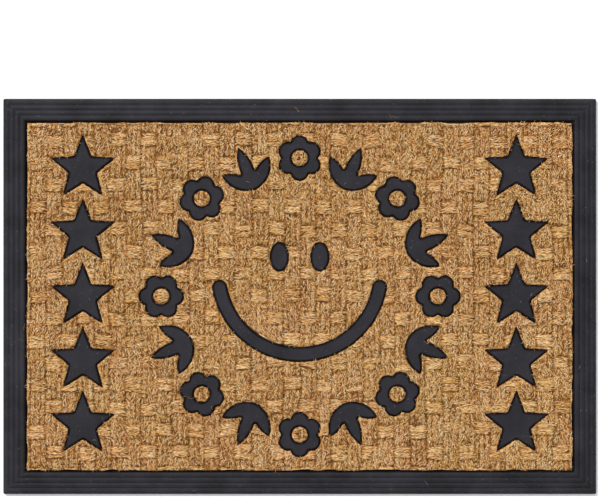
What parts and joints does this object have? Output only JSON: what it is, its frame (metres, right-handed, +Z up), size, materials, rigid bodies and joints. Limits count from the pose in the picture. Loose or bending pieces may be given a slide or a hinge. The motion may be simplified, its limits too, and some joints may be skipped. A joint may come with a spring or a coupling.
{
  "type": "door mat",
  "caption": "Rectangular coir door mat with a ribbed rubber border, a rubber back and raised rubber stars, a wreath and a smile.",
  "frame": {"origin": "middle of the mat's underside, on the floor", "axes": "+X along the mat's length, +Y across it towards the top edge of the design, +Z up"},
  "size_m": [0.6, 0.4, 0.0095],
  "materials": {
    "rubber_base": "matte",
    "rubber_figure": "satin",
    "coir": "coarse woven fibre"
  },
  "bodies": {
    "root": {"coir_flower_eyes": "coir", "coir_panel": "coir", "eye_left": "rubber_figure", "eye_right": "rubber_figure", "rubber_backing": "rubber_base", "rubber_border": "rubber_base", "smile": "rubber_figure", "star_left_1": "rubber_figure", "star_left_2": "rubber_figure", "star_left_3": "rubber_figure", "star_left_4": "rubber_figure", "star_left_5": "rubber_figure", "star_right_1": "rubber_figure", "star_right_2": "rubber_figure", "star_right_3": "rubber_figure", "star_right_4": "rubber_figure", "star_right_5": "rubber_figure", "wreath_flower_1": "rubber_figure", "wreath_flower_2": "rubber_figure", "wreath_flower_3": "rubber_figure", "wreath_flower_4": "rubber_figure", "wreath_flower_5": "rubber_figure", "wreath_flower_6": "rubber_figure", "wreath_flower_7": "rubber_figure", "wreath_flower_8": "rubber_figure", "wreath_sprig_1": "rubber_figure", "wreath_sprig_2": "rubber_figure", "wreath_sprig_3": "rubber_figure", "wreath_sprig_4": "rubber_figure", "wreath_sprig_5": "rubber_figure", "wreath_sprig_6": "rubber_figure", "wreath_sprig_7": "rubber_figure", "wreath_sprig_8": "rubber_figure"}
  },
  "joints": []
}
